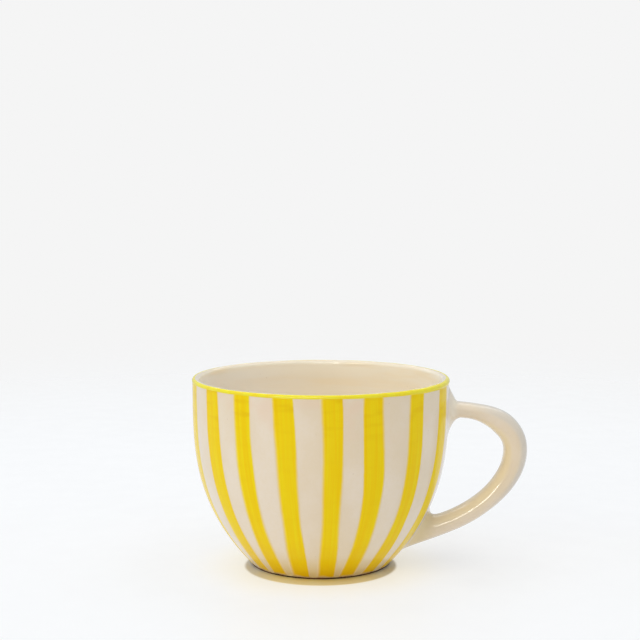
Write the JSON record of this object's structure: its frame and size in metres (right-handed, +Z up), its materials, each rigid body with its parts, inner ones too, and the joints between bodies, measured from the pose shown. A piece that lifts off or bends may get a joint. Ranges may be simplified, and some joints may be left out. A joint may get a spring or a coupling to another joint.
{
  "type": "ceramic mug",
  "caption": "Wide round-bellied ceramic cup with a rounded lip, a narrow turned foot ring and a luted loop handle, cream glazed with hand-brushed yellow upright bands.",
  "frame": {"origin": "under the middle of the whole mug's bounding box, on the plane that it stands on; the cup's own axis is 16.9 mm to the -X side", "axes": "+Z up along the cup's axis, +X towards the handle, Y across the handle's plane"},
  "size_m": [0.1438, 0.11, 0.081],
  "materials": {
    "cream_glaze": "clear gloss glaze over cream earthenware",
    "yellow_brushwork": "hand-brushed yellow under clear gloss glaze",
    "bare_clay": "matt unglazed clay, wiped clean"
  },
  "bodies": {
    "root": {"cup_body": "cream_glaze", "handle": "cream_glaze", "upper_slip_joint": "cream_glaze", "lower_slip_joint": "cream_glaze"}
  },
  "joints": []
}
